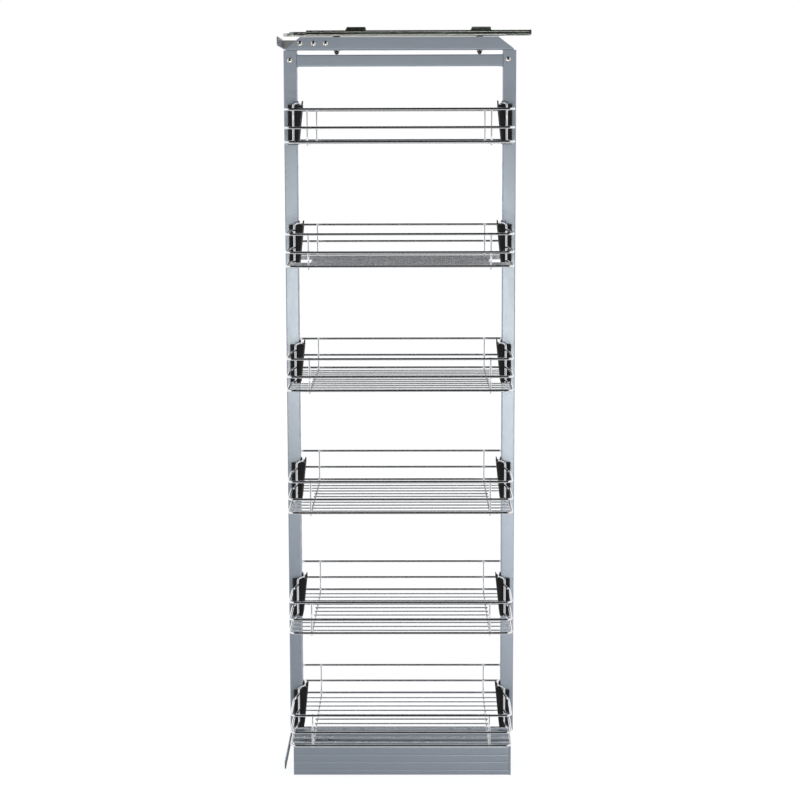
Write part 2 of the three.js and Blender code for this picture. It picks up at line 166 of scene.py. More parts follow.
# ------------------------------------------------------------------ materials
def make_paint():
    m, nt, b, co = new_material("grey_blue_powder_coat")
    flake = noise(nt, co, 2600, 2, 0.6)
    cloud = noise(nt, co, 9, 4, 0.55)
    c = ramp(nt, flake, [(0.30, (0.235, 0.275, 0.335)), (0.52, (0.285, 0.325, 0.390)), (0.72, (0.345, 0.385, 0.450))])
    c = mix(nt, span(nt, cloud, 0.0, 0.10), c, (0.38, 0.41, 0.46))
    nt.links.new(c, b.inputs["Base Color"])
    b.inputs["Metallic"].default_value = 0.45
    nt.links.new(span(nt, noise(nt, co, 60, 5, 0.6), 0.325, 0.355), b.inputs["Roughness"])
    b.inputs["IOR"].default_value = 1.5
    bump(nt, b, [(noise(nt, co, 700, 3, 0.5), 0.05, 0.0003), (noise(nt, co, 2600, 1, 0.5), 0.05, 0.0001)])
    return m


def make_chrome(name, base=(0.83, 0.84, 0.86), rough=(0.03, 0.08), stretch=None, wave=0.0, metallic=1.0):
    m, nt, b, co = new_material(name)
    veil = noise(nt, co, 35, 4, 0.6)
    c = mix(nt, span(nt, veil, 0.0, 0.35), base, tuple(x * 0.90 for x in base))
    nt.links.new(c, b.inputs["Base Color"])
    b.inputs["Metallic"].default_value = metallic
    nt.links.new(span(nt, noise(nt, co, 240, 4, 0.65, stretch), rough[0], rough[1]), b.inputs["Roughness"])
    if wave:
        bump(nt, b, [(noise(nt, co, 120, 2, 0.4, stretch), wave, 0.00005)])
    return m


def make_plastic():
    m, nt, b, co = new_material("black_moulded_plastic")
    c = ramp(nt, noise(nt, co, 55, 4, 0.6), [(0.3, (0.0095, 0.0092, 0.0105)), (0.7, (0.0170, 0.0163, 0.0185))])
    nt.links.new(c, b.inputs["Base Color"])
    nt.links.new(span(nt, noise(nt, co, 300, 4, 0.6), 0.42, 0.55), b.inputs["Roughness"])
    b.inputs["Specular IOR Level"].default_value = 0.34
    bump(nt, b, [(noise(nt, co, 1500, 2, 0.5), 0.14, 0.0002)])
    return m


def make_zinc(name, dark=(0.15, 0.18, 0.17), light=(0.33, 0.365, 0.35), rough=(0.16, 0.28), stain=(0.30, 0.28, 0.26)):
    m, nt, b, co = new_material(name)
    cells = nt.nodes.new("ShaderNodeTexVoronoi")
    cells.inputs["Scale"].default_value = 260
    nt.links.new(co, cells.inputs["Vector"])
    streak = noise(nt, co, 90, 5, 0.65, (0.05, 1, 1))
    c = ramp(nt, streak, [(0.28, dark), (0.72, light)])
    c = mix(nt, span(nt, cells.outputs["Distance"], 0.0, 0.25, 0.1, 0.7), c, light)
    tint = mix(nt, span(nt, noise(nt, co, 28, 3, 0.5), 0.0, 0.22), c, stain)
    nt.links.new(tint, b.inputs["Base Color"])
    b.inputs["Metallic"].default_value = 1.0
    nt.links.new(span(nt, streak, rough[0], rough[1]), b.inputs["Roughness"])
    bump(nt, b, [(streak, 0.05, 0.0002), (noise(nt, co, 1200, 2, 0.5), 0.06, 0.0001)])
    return m


def make_dark_hole():
    m, nt, b, co = new_material("grease_dark_steel")
    c = ramp(nt, noise(nt, co, 400, 3, 0.5), [(0.3, (0.020, 0.020, 0.020)), (0.7, (0.05, 0.045, 0.04))])
    nt.links.new(c, b.inputs["Base Color"])
    b.inputs["Metallic"].default_value = 0.6
    nt.links.new(span(nt, noise(nt, co, 300, 3, 0.5), 0.35, 0.5), b.inputs["Roughness"])
    return m


# near-black paint for the bottom beam's inside faces: painted shade standing in for the dark inside of the beam
def make_painted_shade_paint():
    m, nt, b, co = new_material("grease_stained_paint")
    c = ramp(nt, noise(nt, co, 60, 4, 0.6), [(0.3, (0.030, 0.034, 0.040)), (0.7, (0.060, 0.066, 0.076))])
    nt.links.new(c, b.inputs["Base Color"])
    nt.links.new(span(nt, noise(nt, co, 200, 3, 0.5), 0.5, 0.65), b.inputs["Roughness"])
    b.inputs["Specular IOR Level"].default_value = 0.3
    return m


PAINT = make_paint()
CHROME = make_chrome("chrome_plated_wire", stretch=(0.25, 1, 1))
CHROME_FINE = make_chrome("chrome_plated_floor_wire", rough=(0.20, 0.28), stretch=(0.25, 1, 1), metallic=0.82)
SCREW = make_chrome("nickel_plated_screw", (0.80, 0.79, 0.76), (0.08, 0.18), None, 0.04)
PLASTIC = make_plastic()
ZINC = make_zinc("zinc_plated_slide")
ZINC_L = make_zinc("zinc_plated_light", (0.40, 0.42, 0.41), (0.58, 0.60, 0.58), (0.18, 0.30), (0.50, 0.47, 0.44))
ZINC_B = make_zinc("zinc_plated_bracket", (0.24, 0.26, 0.285), (0.37, 0.39, 0.42), (0.26, 0.38), (0.33, 0.33, 0.34))
# dome nut: chrome with a near-black base colour, a painted dark reflection standing in for the dark surroundings the
# nut mirrors
NUT = make_chrome("dark_nickel_dome_nut", (0.10, 0.095, 0.10), (0.10, 0.20), None, 0.04)
BALL = make_chrome("bearing_ball_steel", (0.72, 0.72, 0.73), (0.05, 0.12))
CAGE = make_dark_hole()
SHADE = make_painted_shade_paint()


# ------------------------------------------------------------------ mesh helpers (all input in mm)
class Build:
    def __init__(self):
        self.v, self.f, self.m = [], [], []

    def add(self, verts, faces, mat=0):
        o = len(self.v)
        self.v += [tuple(p) for p in verts]
        self.f += [[i + o for i in f] for f in faces]
        self.m += [mat] * len(faces)

    def mesh(self, name, mats, sharp=32, recalc=True):
        me = bpy.data.meshes.new(name)
        me.from_pydata([(x * MM, y * MM, z * MM) for x, y, z in self.v], [], self.f)
        for m in mats:
            me.materials.append(m)
        me.polygons.foreach_set("material_index", self.m)
        me.validate()
        finish_mesh(me, sharp, recalc)
        return me


def finish_mesh(me, sharp=32, recalc=True):
    bm = bmesh.new()
    bm.from_mesh(me)
    if recalc:
        bmesh.ops.recalc_face_normals(bm, faces=bm.faces)
    lim = math.radians(sharp)
    for f in bm.faces:
        f.smooth = True
    for e in bm.edges:
        if len(e.link_faces) == 2:
            e.smooth = e.calc_face_angle(0) < lim
    bm.to_mesh(me)
    bm.free()


def place(name, me, body, slot, replaces=(), loc=(0, 0, 0), rot=0.0):
    if slot in ("painted_steel", "zinc_steel"):
        me = flat_shaded(me)
    ob = bpy.data.objects.new(name, me)
    scene.collection.objects.link(ob)
    ob.location = tuple(c * MM for c in loc)
    ob.rotation_euler = (0, 0, rot)
    bpy.context.view_layer.update()
    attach(ob, body)
    if replaces:
        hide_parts(*replaces)
    return ob


def evaluated_mesh(ob, sharp=32):
    dg = bpy.context.evaluated_depsgraph_get()
    me = bpy.data.meshes.new_from_object(ob.evaluated_get(dg))
    finish_mesh(me, sharp, False)
    return me


def boolean(me, cutter, sharp=32):
    """me minus cutter, both meshes; the cutter is thrown away"""
    a = bpy.data.objects.new("tmp_a", me)
    c = bpy.data.objects.new("tmp_c", cutter)
    scene.collection.objects.link(a)
    scene.collection.objects.link(c)
    mod = a.modifiers.new("cut", "BOOLEAN")
    mod.operation = "DIFFERENCE"
    mod.solver = "EXACT"
    mod.object = c
    out = evaluated_mesh(a, sharp)
    out.name = me.name
    bpy.data.objects.remove(a)
    bpy.data.objects.remove(c)
    bpy.data.meshes.remove(cutter)
    return out


def bevelled(me, width, segments=2, angle=35, sharp=32):
    a = bpy.data.objects.new("tmp_b", me)
    scene.collection.objects.link(a)
    mod = a.modifiers.new("bevel", "BEVEL")
    mod.width = width * MM
    mod.segments = segments
    mod.limit_method = "ANGLE"
    mod.angle_limit = math.radians(angle)
    mod.use_clamp_overlap = True
    out = evaluated_mesh(a, sharp)
    out.name = me.name
    bpy.data.objects.remove(a)
    return out


def flat_shaded(me):
    """normals weighted by face area, so that a flat between two bends reflects as a flat"""
    a = bpy.data.objects.new("tmp_w", me)
    scene.collection.objects.link(a)
    mod = a.modifiers.new("weighted", "WEIGHTED_NORMAL")
    mod.mode = "FACE_AREA"
    mod.weight = 50
    mod.keep_sharp = True
    out = bpy.data.meshes.new_from_object(a.evaluated_get(bpy.context.evaluated_depsgraph_get()))
    out.name = me.name
    bpy.data.objects.remove(a)
    return out


def V(*p):
    return Vector(p)


def fillet(points, r, n=6):
    pts = [Vector(p) for p in points]
    rs = r if isinstance(r, (list, tuple)) else [r] * len(pts)
    out = [pts[0]]
    for i in range(1, len(pts) - 1):
        p0, p1, p2, rr = pts[i - 1], pts[i], pts[i + 1], rs[i]
        a, b = p0 - p1, p2 - p1
        la, lb = a.length, b.length
        a.normalize()
        b.normalize()
        ang = a.angle(b)
        if rr <= 0 or math.pi - ang < 1e-3:
            out.append(p1)
            continue
        d = min(rr / math.tan(ang / 2), 0.49 * la, 0.49 * lb)
        rr = d * math.tan(ang / 2)
        c = p1 + (a + b).normalized() * (rr / math.sin(ang / 2))
        u, w = p1 + a * d - c, p1 + b * d - c
        axis = u.cross(w).normalized()
        tot = u.angle(w)
        for k in range(n + 1):
            out.append(c + Matrix.Rotation(tot * k / n, 3, axis) @ u)
    out.append(pts[-1])
    return out


def arc2(cx, cy, r, a0, a1, n, z=0.0):
    return [V(cx + r * math.cos(math.radians(a0 + (a1 - a0) * i / n)),
              cy + r * math.sin(math.radians(a0 + (a1 - a0) * i / n)), z) for i in range(n + 1)]


def tube(b, pts, r, n=12, mat=0, cap=True):
    """a round wire along pts with softly rounded ends"""
    pts = [Vector(p) for p in pts]
    keep = [pts[0]]
    for p in pts[1:]:
        if (p - keep[-1]).length > 1e-4:
            keep.append(p)
    pts = keep
    k = len(pts)
    tan = []
    for i in range(k):
        t = V(0, 0, 0)
        if i:
            t += (pts[i] - pts[i - 1]).normalized()
        if i < k - 1:
            t += (pts[i + 1] - pts[i]).normalized()
        tan.append(t.normalized())
    up = V(0, 0, 1) if abs(tan[0].z) < 0.9 else V(0, 1, 0)
    u = (up - tan[0] * up.dot(tan[0])).normalized()
    rings = []
    if cap:
        rings.append((pts[0] - tan[0] * r * 0.55, u, tan[0], 0.50))
        rings.append((pts[0] - tan[0] * r * 0.30, u, tan[0], 0.86))
    for i in range(k):
        u = (u - tan[i] * u.dot(tan[i])).normalized()
        rings.append((pts[i], u, tan[i], 1.0))
    if cap:
        rings.append((pts[-1] + tan[-1] * r * 0.30, u, tan[-1], 0.86))
        rings.append((pts[-1] + tan[-1] * r * 0.55, u, tan[-1], 0.50))
    vs, fs = [], []
    for c, uu, tt, s in rings:
        w = tt.cross(uu)
        for j in range(n):
            a = 2 * math.pi * j / n
            vs.append(c + (uu * math.cos(a) + w * math.sin(a)) * (r * s))
    m = len(rings)
    for i in range(m - 1):
        for j in range(n):
            j2 = (j + 1) % n
            fs.append([i * n + j, i * n + j2, (i + 1) * n + j2, (i + 1) * n + j])
    fs.append([j for j in range(n)][::-1])
    fs.append([(m - 1) * n + j for j in range(n)])
    b.add(vs, fs, mat)


def revolve(b, profile, origin, axis=(0, 0, 1), n=24, mat=0):
    """profile of (radius, height) from the axis to the axis, or a closed ring"""
    ax = Vector(axis).normalized()
    u = ax.orthogonal().normalized()
    w = ax.cross(u)
    o = Vector(origin)
    rows, vs = [], []
    for r, h in profile:
        if r < 1e-6:
            rows.append([len(vs)])
            vs.append(o + ax * h)
        else:
            rows.append(list(range(len(vs), len(vs) + n)))
            for j in range(n):
                a = 2 * math.pi * j / n
                vs.append(o + ax * h + (u * math.cos(a) + w * math.sin(a)) * r)
    fs = []
    pairs = list(zip(rows[:-1], rows[1:]))
    if len(rows[0]) > 1 and len(rows[-1]) > 1:
        pairs.append((rows[-1], rows[0]))
    for ra, rb in pairs:
        for j in range(n):
            j2 = (j + 1) % n
            f = [ra[j] if len(ra) > 1 else ra[0], ra[j2] if len(ra) > 1 else ra[0],
                 rb[j2] if len(rb) > 1 else rb[0], rb[j] if len(rb) > 1 else rb[0]]
            g = []
            for i in f:
                if i not in g:
                    g.append(i)
            if len(g) > 2:
                fs.append(g)
    b.add(vs, fs, mat)


def loft(b, sections, mat=0, caps=True):
    n = len(sections[0])
    vs = [p for s in sections for p in s]
    fs = []
    for i in range(len(sections) - 1):
        for j in range(n):
            j2 = (j + 1) % n
            fs.append([i * n + j, i * n + j2, (i + 1) * n + j2, (i + 1) * n + j])
    if caps:
        fs.append(list(range(n))[::-1])
        fs.append([(len(sections) - 1) * n + j for j in range(n)])
    b.add(vs, fs, mat)


def at(axis, u, v, s):
    """(Y, Z) for axis x, (X, Z) for axis y, (X, Y) for axis z"""
    return {"x": V(s, u, v), "y": V(u, s, v), "z": V(u, v, s)}[axis]


def sheet(b, path, t, r, axis, stations, n=5, mat=0, ends=None):
    """a folded strip: path is its middle line in section, t its thickness, r the bend radius there"""
    mid = fillet([(x, y, 0) for x, y in path], r, n)
    k = len(mid)
    left, right = [], []
    for i in range(k):
        a = (mid[i] - mid[i - 1]).normalized() if i else None
        c = (mid[i + 1] - mid[i]).normalized() if i < k - 1 else None
        tg = ((a or c) + (c or a)).normalized()
        nrm = V(-tg.y, tg.x, 0)
        h = t / 2
        if a is not None and c is not None:
            h = h / max(0.5, nrm.dot(V(-a.y, a.x, 0)))
        left.append(mid[i] + nrm * h)
        right.append(mid[i] - nrm * h)
    loop = left + right[::-1]
    vs = []
    for s in stations:
        for p in loop:
            vs.append(at(axis, p.x, p.y, s) if not callable(s) else s(p))
    m = len(loop)
    fs = []
    for i in range(len(stations) - 1):
        for j in range(m):
            j2 = (j + 1) % m
            fs.append([i * m + j, i * m + j2, (i + 1) * m + j2, (i + 1) * m + j])
    for base in (0, (len(stations) - 1) * m):
        for i in range(k - 1):
            fs.append([base + i, base + i + 1, base + m - 2 - i, base + m - 1 - i])
    b.add(vs, fs, mat)


def rrect(x0, x1, y0, y1, r, n=5):
    out = []
    for cx, cy, a in ((x1 - r, y1 - r, 0), (x0 + r, y1 - r, 90), (x0 + r, y0 + r, 180), (x1 - r, y0 + r, 270)):
        for i in range(n + 1):
            g = math.radians(a + 90 * i / n)
            out.append((cx + r * math.cos(g), cy + r * math.sin(g)))
    return out


def hollow(b, outer, inner, axis, s0, s1, mat=0):
    """a tube with the same number of points in its outer and inner outlines"""
    n = len(outer)
    vs = []
    for s in (s0, s1):
        vs += [at(axis, x, y, s) for x, y in outer]
        vs += [at(axis, x, y, s) for x, y in inner]
    fs = []
    for j in range(n):
        j2 = (j + 1) % n
        fs.append([j, j2, 2 * n + j2, 2 * n + j])
        fs.append([n + j, 3 * n + j, 3 * n + j2, n + j2])
        fs.append([j, n + j, n + j2, j2])
        fs.append([2 * n + j, 2 * n + j2, 3 * n + j2, 3 * n + j])
    b.add(vs, fs, mat)


def prism(b, outline, axis, s0, s1, mat=0):
    loft(b, [[at(axis, x, y, s) for x, y in outline] for s in (s0, s1)], mat)


def block(b, x, y, z, mat=0):
    prism(b, [(x[0], y[0]), (x[1], y[0]), (x[1], y[1]), (x[0], y[1])], "z", z[0], z[1], mat)


def disc(b, centre, axis, r, s0, s1, n=24, mat=0):
    o = []
    for i in range(n):
        a = 2 * math.pi * i / n
        o.append((centre[0] + r * math.cos(a), centre[1] + r * math.sin(a)))
    prism(b, o, axis, s0, s1, mat)


def cutter(fill):
    b = Build()
    fill(b)
    return b.mesh("cutter", [])


def ball(b, c, r, n=10, m=7, squash=(1, 1, 1), mat=0):
    vs, fs = [V(c[0], c[1], c[2] + r * squash[2])], []
    for i in range(1, m):
        p = math.pi * i / m
        for j in range(n):
            a = 2 * math.pi * j / n
            vs.append(V(c[0] + r * squash[0] * math.sin(p) * math.cos(a),
                        c[1] + r * squash[1] * math.sin(p) * math.sin(a),
                        c[2] + r * squash[2] * math.cos(p)))
    vs.append(V(c[0], c[1], c[2] - r * squash[2]))
    for j in range(n):
        fs.append([0, 1 + j, 1 + (j + 1) % n])
        fs.append([len(vs) - 1, 1 + (m - 2) * n + (j + 1) % n, 1 + (m - 2) * n + j])
    for i in range(m - 2):
        for j in range(n):
            j2 = (j + 1) % n
            fs.append([1 + i * n + j, 1 + (i + 1) * n + j, 1 + (i + 1) * n + j2, 1 + i * n + j2])
    b.add(vs, fs, mat)


# ------------------------------------------------------------------ camera
cam_data = bpy.data.cameras.new("camera")
cam_data.lens = 36 * 1975.75 / 800
cam_data.sensor_width = 36
cam_data.clip_start, cam_data.clip_end = 0.05, 100
cam = bpy.data.objects.new("camera", cam_data)
scene.collection.objects.link(cam)
cam.matrix_world = (Matrix.Translation((0.0329, -4.2262, 1.41013))
                    @ Matrix.Rotation(math.radians(0.47), 4, "Z")
                    @ Matrix.Rotation(math.radians(90 - 7.958), 4, "X")
                    @ Matrix.Rotation(math.radians(-0.159), 4, "Z"))
scene.camera = cam


# ------------------------------------------------------------------ wire baskets
def basket_mesh():
    b = Build()
    R = RIM_D / 2
    for z in (0, RIM_MID, RIM_TOP):
        for s in (1, -1):
            corner = arc2(-RIM_X + RIM_R, -RIM_Y + RIM_R, RIM_R, 180, 270, 9)
            lead = fillet([(-HANG_X + 0.4, -HANG_Y - 1.0, 0), (-RIM_X, -BEND_Y, 0), corner[0]], [0, 26, 0], 6)
            left = lead[:-1] + corner
            front = [V(x, -RIM_Y, 0) for x in (-160, -100, -50, 0, 50, 100, 160)]
            right = [V(-p.x, p.y, 0) for p in left][::-1]
            tube(b, [V(p.x, s * p.y, z) for p in left + front + right], R, 14)
    for s in (-1, 1):
        path = fillet([(HANG_X, -HANG_Y, -3.6), (HANG_X, -HANG_Y, LOOP_Z), (LOOP_X, -HANG_Y + 13, LOOP_Z),
                       (LOOP_X, HANG_Y - 13, LOOP_Z), (HANG_X, HANG_Y, LOOP_Z), (HANG_X, HANG_Y, -3.6)],
                      [0, 6.5, 9, 9, 6.5, 0], 7)
        tube(b, [V(s * p.x, s * p.y, p.z) for p in path], HANG_D / 2, 14)
    cy = RIM_Y - (RIM_D + CROSS_D) / 2 + 0.7
    cz = -FLOOR_DROP - (FLOOR_D + CROSS_D) / 2 + 0.6
    for s in (-1, 1):
        path = fillet([(s * CROSS_X, -cy, RIM_TOP + 1.6), (s * CROSS_X, -cy, cz), (s * CROSS_X, cy, cz),
                       (s * CROSS_X, cy, RIM_TOP + 1.6)], 6.0, 7)
        tube(b, path, CROSS_D / 2, 12)
    for i in range(1, FLOOR_N + 1):
        y = -RIM_Y + i * PITCH
        near = abs(y)
        f = max(0.0, min(1.0, (BEND_Y - near) / (BEND_Y - HANG_Y)))
        x = CROSS_X + 3.2 if near < HANG_Y + 6 else RIM_X - f * (RIM_X - HANG_X) - 0.4
        bow = 0.35 * math.sin(i * 2.3)
        tube(b, [V(u * x, y, -FLOOR_DROP + (0.15 * bow * (1 - u * u))) for u in (-1, -0.6, -0.2, 0.2, 0.6, 1)], FLOOR_D / 2, 12, 1)
        for s in (-1, 1):
            ball(b, (s * CROSS_X, y, -FLOOR_DROP - 1.9), 1.9, 10, 6, (1.25, 1.05, 0.8))
            if near >= HANG_Y + 6:
                ball(b, (s * (x - 1.6), y, -FLOOR_DROP + 0.6), 1.9, 8, 6, (1.3, 1.0, 0.8))
    for z in (0, RIM_MID, RIM_TOP):
        for s in (-1, 1):
            for e in (-1, 1):
                ball(b, (s * CROSS_X, e * (RIM_Y - 2.5), z), 1.9, 10, 6, (1.35, 0.9, 1.0))
                ball(b, (s * (HANG_X + 0.4), e * (HANG_Y + 2.0), z), 2.3, 10, 6, (0.9, 1.15, 1.0))
    return b.mesh("wire_basket", [CHROME, CHROME_FINE], sharp=50)


BASKET = basket_mesh()
for i, z in enumerate(BASKET_Z):
    place(f"wire_basket_{i + 1}", BASKET, f"basket_{i + 1}", "chrome_wire", [f"basket_{i + 1}"], (0, 0, z))


# ------------------------------------------------------------------ basket brackets
def bracket_mesh(low, arm_top):
    """door-side bracket: a clasp round the post's inner half, ribbed, wider at its top"""
    b = Build()
    xin, y, yo = -(POST_OUT - POST_W) + GAP, POST_D / 2 + GAP, POST_D / 2 + GAP + BR_T
    top = BR_Z[1]

    def face_x(z):
        return -BR_IN[0] + (BR_IN[0] - BR_IN[1]) * (z - low) / (top - low)

    def body(z, inset, k):
        """the wedge in front of the post's inner face, with flats pressed into its face and sides"""
        xf = face_x(z)
        near = [(xin + 0.02, -y), (xin - 1.5, -y), (xin - 1.5, -yo + inset)]
        r = min(2.0, (xf - inset - xin) * 0.7)
        for a in (0, 30, 60, 90):
            g = math.radians(a)
            near.append((xf - r - inset + r * math.sin(g), -yo + inset + r - r * math.cos(g)))
        face = []
        for g in range(5):
            c = -16.4 + 8.2 * g
            face += [(xf - inset, c - 3.0), (xf - inset - k, c - 2.4), (xf - inset - k, c + 2.4), (xf - inset, c + 3.0)]
        far = [(x, -yy) for x, yy in near[::-1]]
        return [V(u, v, z) for u, v in near + face + far]

    z0, z1 = low, top
    loft(b, [body(z0, 0.7, 0.0), body(z0 + 0.7, 0.0, 0.0), body(z0 + 4.0, 0.0, 0.0), body(z0 + 5.0, 0.0, 0.6), body((z0 + z1) / 2, 0.0, 0.6),
             body(z1 - 5.0, 0.0, 0.6), body(z1 - 4.0, 0.0, 0.0), body(z1 - 0.7, 0.0, 0.0), body(z1, 0.7, 0.0)])

    def arm(s, z, inset, k):
        """an arm beside the post, with upright grooves on its outer side"""
        xa, xe = -BR_ARM_X, xin - 1.5
        side = [(xa + 0.4 + inset, y + 1.2), (xa + inset, y + 2.4), (xa + inset, yo - 2.2), (xa + 0.6 + inset, yo - 0.6 - inset), (xa + 2.2 + inset, yo - inset)]
        for g in range(4):
            c = xa + 5.2 + 3.6 * g
            side += [(c - 1.1, yo - inset), (c - 0.7, yo - k - inset), (c + 0.7, yo - k - inset), (c + 1.1, yo - inset)]
        side += [(xe, yo - inset), (xe, y), (xa + 1.6 + inset, y)]
        return [V(u, s * v, z) for u, v in side]

    for s in (-1, 1):
        loft(b, [arm(s, low, 0.7, 0.0), arm(s, low + 0.7, 0.0, 0.0), arm(s, low + 4.0, 0.0, 0.0), arm(s, low + 5.0, 0.0, 0.7),
                 arm(s, arm_top - 5.0, 0.0, 0.7), arm(s, arm_top - 4.0, 0.0, 0.0), arm(s, arm_top - 0.7, 0.0, 0.0), arm(s, arm_top, 0.7, 0.0)])
    # lip that holds the wire loop, curved to the front
    lip = []
    for z, a, c in ((73.0, -208.7, -206.0), (77.0, -208.5, -205.75), (81.5, -208.1, -205.45), (83.8, -207.7, -205.3), (84.5, -207.2, -205.7)):
        lip.append([V(x, yy, z) for x, yy in rrect(a, c, -9.0 + max(0, z - 82) * 0.7, 9.0 - max(0, z - 82) * 0.7, 0.9, 3)])
    loft(b, lip)
    # a low upstand beside the post, behind the loop
    loft(b, [[V(x, yy, z) for x, yy in rrect(xin + 0.02, xin + 1.68, -9 + e, 9 - e, 0.5, 2)] for z, e in ((74.0, 0), (82.6, 0), (83.6, 0.5), (84.0, 1.3))])
    # the hooks into the post
    for zz in (6.0, 70.0):
        prism(b, rrect(-3.6, 3.6, zz - 2.8, zz + 2.8, 0.8, 3), "x", xin - 3.9, xin + 0.6)
    return b.mesh("basket_bracket", [PLASTIC], sharp=28)


BRACKET, LOWEST = bracket_mesh(BR_Z[0], BR_Z[1]), bracket_mesh(*BR_LOWEST)
for i, z in enumerate(BASKET_Z):
    me = BRACKET if i < 5 else LOWEST
    place(f"bracket_door_side_{i + 1}", me, "frame", "black_plastic", [f"bracket_front_{i + 1}"], (0, 0, z))
    place(f"bracket_back_side_{i + 1}", me, "frame", "black_plastic", [f"bracket_rear_{i + 1}"], (0, 0, z), math.pi)


# ------------------------------------------------------------------ posts, rail and beams
SLOTS = [1511 - 64 * k for k in range(21)] + [180.0, 116.0]


def stadium(u0, v0, w, h, n=6):
    r = w / 2
    out = []
    for s, a0 in ((1, 0), (-1, 180)):
        for i in range(n + 1):
            a = math.radians(a0 + 180 * i / n)
            out.append((u0 + r * math.cos(a), v0 + s * (h / 2 - r) + r * math.sin(a)))
    return out


def post_mesh(s, screw):
    x0 = POST_OUT - POST_W if s > 0 else -POST_OUT
    x1, h, t = x0 + POST_W, POST_D / 2, POST_T
    b = Build()
    hollow(b, rrect(x0, x1, -h, h, 2.4), rrect(x0 + t, x1 - t, -h + t, h - t, 0.9), "z", POST_Z[0], POST_Z[1])
    me = b.mesh("post", [PAINT], sharp=40)
    xin = x0 if s > 0 else x1

    def holes(c):
        for z in SLOTS:
            prism(c, stadium(0, z, 8.6, 12.6), "x", xin - 3, xin + 3)
        disc(c, screw, "y", 2.6, -h - 1, -h + 4)
    return boolean(me, cutter(holes), 40)


place("front_post_tube", post_mesh(-1, POST_SCREW[0]), "frame", "painted_steel", ["front_post"])
place("rear_post_tube", post_mesh(1, POST_SCREW[1]), "frame", "painted_steel", ["rear_post"])

b = Build()
h, t = POST_D / 2, POST_T
hollow(b, rrect(-h, h, RAIL_Z[0], RAIL_Z[1], 2.2), rrect(-h + t, h - t, RAIL_Z[0] + t, RAIL_Z[1] - t, 0.8), "x", -(POST_OUT - POST_W), POST_OUT - POST_W)
# fillet welds to the posts: a bead at each corner, and along the lower edge
for s in (-1, 1):
    for e in (-1, 1):
        for zz in (RAIL_Z[0], RAIL_Z[1]):
            d = -1 if zz == RAIL_Z[0] else 1
            for q in range(5):
                ball(b, (s * (POST_OUT - POST_W - 0.5 - 0.25 * (q % 2)), e * (h - 2.2 - 2.6 * q), zz + d * 0.25), 1.45, 8, 6, (1.0, 1.25, 1.0))
place("cross_rail_tube", b.mesh("cross_rail", [PAINT], sharp=40), "frame", "painted_steel", ["cross_rail"])


def top_beam_mesh():
    b = Build()
    z0, z1 = TOP_Z
    hh, tt = BEAM_D / 2, BEAM_T
    prof = [(-hh + tt / 2, z1), (-hh + tt / 2, z0 + tt / 2), (hh - tt / 2, z0 + tt / 2), (hh - tt / 2, z1)]

    def end(a, d):
        # mitred end: straight for the lowest 2.4 mm, then slanted back
        return lambda p: V(a + (d - a) * max(0.0, (p.y - z0 - 2.4) / (z1 - z0 - 2.4)), p.x, p.y)
    stations = [end(-240.0, -209.5)] + [-180.0, -60.0, 60.0, 170.0] + [end(239.5, 207.0)]
    sheet(b, [(p[0], p[1]) for p in prof], tt, 2.0, "x", stations, 6)
    me = b.mesh("top_beam", [PAINT], sharp=40)

    def holes(c):
        for x in BOLT_X:
            disc(c, (x, 0), "z", 3.4, z0 - 1, z0 + 4)
        for x in SCREW_TOP_X:
            disc(c, (x, SCREW_TOP_Z), "y", 2.5, -hh - 1, -hh + 3)
    return boolean(me, cutter(holes), 40)


place("top_beam_channel", top_beam_mesh(), "frame", "painted_steel", ["top_beam"])


def bottom_beam_mesh():
    b = Build()
    z0, z1 = BOT_Z
    hh, tt = BEAM_D / 2, BEAM_T
    sheet(b, [(-hh + tt / 2, z0), (-hh + tt / 2, z1 - tt / 2), (hh - tt / 2, z1 - tt / 2), (hh - tt / 2, z0)], tt, 2.0, "x",
          [-238.0, -150.0, -60.0, 60.0, 150.0, 239.0], 6)
    me = b.mesh("bottom_beam", [PAINT, SHADE], sharp=40)

    def holes(c):
        for x in ACCESS_X:
            disc(c, (x, 0), "z", 6.5, z1 - 4, z1 + 2, 28)
        for x in SCREW_BOT_X:
            disc(c, (x, SCREW_BOT_Z), "y", 2.5, -hh - 1, -hh + 3)
    me = boolean(me, cutter(holes), 40)
    # the inside faces get the near-black SHADE paint: painted shade for the dark inside of the beam, where little light
    # gets in
    for p in me.polygons:
        x, y, z = p.center * 1000.0
        if abs(y) < hh - tt + 0.3 and z < z1 - tt + 0.3:
            p.material_index = 1
    return me


place("bottom_beam_channel", bottom_beam_mesh(), "frame", "painted_steel", ["bottom_beam"])


# ------------------------------------------------------------------ floor channel with pressed lines
def channel_mesh():
    b = Build()
    y, t, hgt, l = CH_Y - CH_T / 2, CH_T, CH_H - CH_T / 2, CH_LIP

    def groove(s, z, deep=0.16, w=2.6):
        return [(s * y, z - w), (s * (y - deep), z - w * 0.35), (s * (y - deep), z + w * 0.35), (s * y, z + w)]
    left = [p for z in (12.0, 30.0, 46.0) for p in groove(-1, z)]
    right = [p for z in (46.0, 30.0, 12.0) for p in groove(1, z)[::-1]]
    path = [(-l, hgt), (-y, hgt)] + left[::-1] + [(-y, CH_T / 2), (y, CH_T / 2)] + right[::-1] + [(y, hgt), (l, hgt)]
    radii = [0, 2.6] + [0.6] * len(left) + [2.6, 2.6] + [0.6] * len(right) + [2.6, 0]
    sheet(b, path, t, radii, "x", [CH_X[0], -120.0, 0.0, 120.0, CH_X[1]], 4)
    me = b.mesh("floor_channel", [PAINT], sharp=24)

    def holes(c):
        for x in (-190, -70, 70, 190):
            disc(c, (x, 0), "z", 2.6, -1, t + 1)
    return boolean(me, cutter(holes), 24)


place("floor_channel_body", channel_mesh(), "cabinet_side", "painted_steel", ["floor_channel"])

